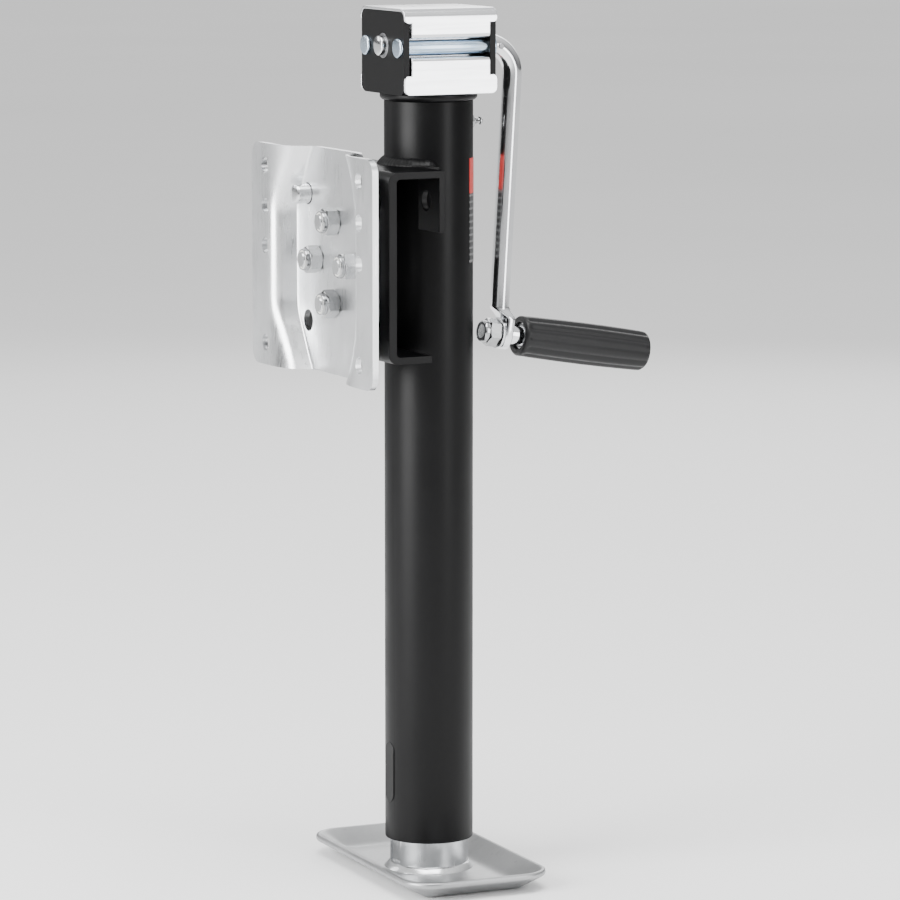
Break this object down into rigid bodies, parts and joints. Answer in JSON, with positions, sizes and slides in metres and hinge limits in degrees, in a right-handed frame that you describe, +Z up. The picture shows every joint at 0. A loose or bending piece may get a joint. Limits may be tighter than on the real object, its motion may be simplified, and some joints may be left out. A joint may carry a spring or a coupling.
{
  "type": "trailer tongue jack",
  "caption": "Side-crank trailer tongue jack with a telescoping leg, bevel-gear head, pressed foot and a swivelling bolt-on mount plate with a spring lock pin.",
  "frame": {"origin": "on the leg's axis, at the underside of the foot, with the leg retracted", "axes": "+Z up along the leg, +X towards the crank, -X towards the mount plate, gear cover's ends along Y"},
  "size_m": [0.2417, 0.182, 0.5632],
  "materials": {
    "black_coat": "semi-gloss powder coat",
    "bright_zinc": "bright zinc plate",
    "plain_zinc": "zinc plate",
    "blue_zinc": "blue zinc plate",
    "dull_steel": "plain steel",
    "dark_steel": "oiled steel",
    "race_steel": "ground steel",
    "spring_steel": "spring wire",
    "bronze": "plain bronze",
    "chrome_bar": "polished",
    "grip_plastic": "black, moulded",
    "dark_nylon": "nylon",
    "white_nylon": "nylon",
    "label_film": "printed film"
  },
  "bodies": {
    "jack_body": {"outer_tube": "black_coat", "guide_key": "black_coat", "bearing_seat": "dull_steel", "head_collar": "black_coat", "screw_bushing": "bronze", "gear_housing": "black_coat", "gear_cover": "bright_zinc", "tie_rivet_front": "blue_zinc", "tie_rivet_rear": "blue_zinc", "shaft_bushings": "dark_steel", "upper_race": "race_steel", "bearing_balls": "race_steel", "bearing_cage": "bronze", "grease_fitting": "plain_zinc", "swivel_bracket": "black_coat", "bracket_welds": "black_coat", "pin_spring": "spring_steel", "info_label": "label_film"},
    "leg": {"inner_tube": "plain_zinc", "lift_nut": "bronze", "foot_plate": "bright_zinc", "foot_weld": "dull_steel"},
    "screw": {"lift_screw": "dark_steel", "lower_race": "race_steel", "screw_gear": "dull_steel", "screw_gear_pin": "dark_steel"},
    "crank": {"crank_bar": "chrome_bar", "pinion_gear": "dull_steel", "pinion_pin": "dark_steel", "crank_cross_pin": "dark_steel", "grip_bolt": "plain_zinc", "grip_sleeve": "chrome_bar", "grip_washer": "plain_zinc", "grip_lock_nut": "plain_zinc", "grip_nut_insert": "dark_nylon"},
    "grip": {"hand_grip": "grip_plastic"},
    "swivel_mount": {"mount_plate": "bright_zinc", "swivel_hub": "dull_steel", "retainer_disc": "dull_steel", "swivel_bolts": "plain_zinc", "swivel_nuts": "plain_zinc", "swivel_nut_inserts": "white_nylon"},
    "pin": {"lock_pin": "plain_zinc", "pin_collar": "dull_steel", "pull_bar": "plain_zinc"}
  },
  "joints": [
    {"name": "crank_turn", "type": "hinge", "parent": "jack_body", "child": "crank", "pos_m": [0, 0, 0.539], "axis": [-1, 0, 0], "range_deg": [0, 54860]},
    {"name": "leg_slide", "type": "slide", "parent": "jack_body", "child": "leg", "axis": [0, 0, -1], "range_m": [0, 0.381]},
    {"name": "screw_spin", "type": "hinge", "parent": "jack_body", "child": "screw", "pos_m": [0, 0, 0.527], "axis": [0, 0, 1], "range_deg": [-1, 27440]},
    {"name": "grip_spin", "type": "hinge", "parent": "crank", "child": "grip", "pos_m": [0.0538, 0, 0.3502], "axis": [0.9871, 0, -0.1599], "continuous": true},
    {"name": "swivel", "type": "hinge", "parent": "jack_body", "child": "swivel_mount", "pos_m": [-0.06, 0, 0.402], "axis": [1, 0, 0], "range_deg": [0, 90], "deforming": ["lock_pin"]},
    {"name": "pin_pull", "type": "slide", "parent": "jack_body", "child": "pin", "axis": [1, 0, 0], "range_m": [0, 0.0155], "stiffness_N_per_m": 300, "springref_m": -0.01, "deforming": ["pin_spring"]}
  ],
  "couplings": [
    {"joint": "leg_slide", "follows": "crank_turn", "m_per_rad": 0.00039789},
    {"joint": "screw_spin", "follows": "crank_turn", "ratio": 0.5}
  ]
}
